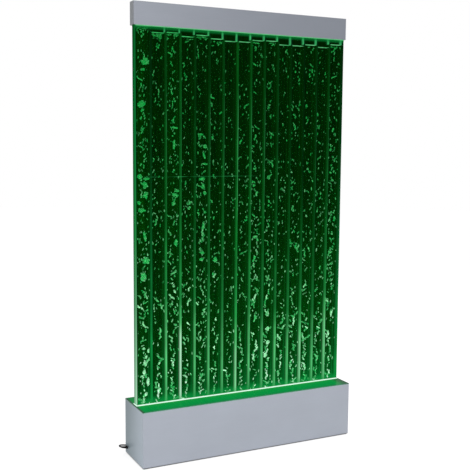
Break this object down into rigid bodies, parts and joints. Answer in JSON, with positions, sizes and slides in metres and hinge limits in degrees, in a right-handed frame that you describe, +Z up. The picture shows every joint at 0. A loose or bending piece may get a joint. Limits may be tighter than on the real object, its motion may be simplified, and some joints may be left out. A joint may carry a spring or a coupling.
{
  "type": "bubble wall panel",
  "caption": "Free-standing bubble wall: a slim water panel of upright air channels between acrylic sheets, on a long metal base with pumps and foot lighting, under a lift-off cap.",
  "frame": {"origin": "on the floor, under the middle of the base", "axes": "+Z up, +X along the panel to its right end as seen from the front, -Y towards the front"},
  "size_m": [1.0287, 0.3357, 1.885],
  "materials": {
    "silver_sheet": "satin silver",
    "deck_sheet": "glossy silver",
    "steel": "zinc plated",
    "aluminium": "mill finish",
    "clear_acrylic": "polished",
    "dark_acrylic": "polished, nearly black green",
    "water": "clear, lit green",
    "silicone": "translucent",
    "grey_plastic": "moulded",
    "black_plastic": "moulded",
    "black_rubber": "matt",
    "light_board": "white board with chips"
  },
  "bodies": {
    "root": {"front_sheet": "clear_acrylic", "back_sheet": "dark_acrylic", "end_bar_left": "clear_acrylic", "end_bar_right": "clear_acrylic", "divider_01": "clear_acrylic", "divider_02": "clear_acrylic", "divider_03": "clear_acrylic", "divider_04": "clear_acrylic", "divider_05": "clear_acrylic", "divider_06": "clear_acrylic", "divider_07": "clear_acrylic", "divider_08": "clear_acrylic", "divider_09": "clear_acrylic", "divider_10": "clear_acrylic", "divider_11": "clear_acrylic", "divider_12": "clear_acrylic", "divider_13": "clear_acrylic", "divider_14": "clear_acrylic", "bottom_bar": "clear_acrylic", "air_rail": "grey_plastic", "rail_cover": "grey_plastic", "base_shell": "silver_sheet", "deck_plate": "deck_sheet", "foot_seal": "silicone", "base_pan": "steel", "foot_front_left": "black_rubber", "foot_front_right": "black_rubber", "foot_rear_left": "black_rubber", "foot_rear_right": "black_rubber", "cradle": "aluminium", "cradle_bracket_left": "aluminium", "cradle_bracket_right": "aluminium", "light_carrier_front": "aluminium", "light_carrier_rear": "aluminium", "light_strip_front": "light_board", "light_strip_rear": "light_board", "air_pump_left": "black_plastic", "air_pump_right": "black_plastic", "air_tube_left": "silicone", "air_tube_right": "silicone", "power_supply": "grey_plastic", "inner_lead": "black_rubber", "light_controller": "grey_plastic", "door_hinge_leaf": "steel", "hinge_pin": "steel", "switch_frame": "black_plastic", "strain_relief": "black_rubber", "mains_lead": "black_rubber", "lead_coil": "black_rubber", "coil_tie": "black_plastic", "plug": "black_rubber"},
    "cap": {"cap_shell": "silver_sheet", "cap_seal_front": "silicone", "cap_seal_rear": "silicone", "cap_rest_left": "grey_plastic", "cap_rest_right": "grey_plastic"},
    "door": {"service_door": "silver_sheet"},
    "latch": {"latch_knob": "steel", "latch_cam": "steel"},
    "rocker": {"switch_rocker": "black_plastic"}
  },
  "joints": [
    {"name": "cap_lift", "type": "slide", "parent": "root", "child": "cap", "axis": [0, 0, 1], "range_m": [0, 0.12]},
    {"name": "door_swing", "type": "hinge", "parent": "root", "child": "door", "pos_m": [0.2635, 0.1051, 0.115], "axis": [0, 0, -1], "range_deg": [0, 110]},
    {"name": "latch_turn", "type": "hinge", "parent": "door", "child": "latch", "pos_m": [-0.032, 0.1046, 0.115], "axis": [0, 1, 0], "range_deg": [0, 90]},
    {"name": "switch_rock", "type": "hinge", "parent": "root", "child": "rocker", "pos_m": [-0.36, 0.1008, 0.15], "axis": [-1, 0, 0], "range_deg": [0, 14]}
  ]
}
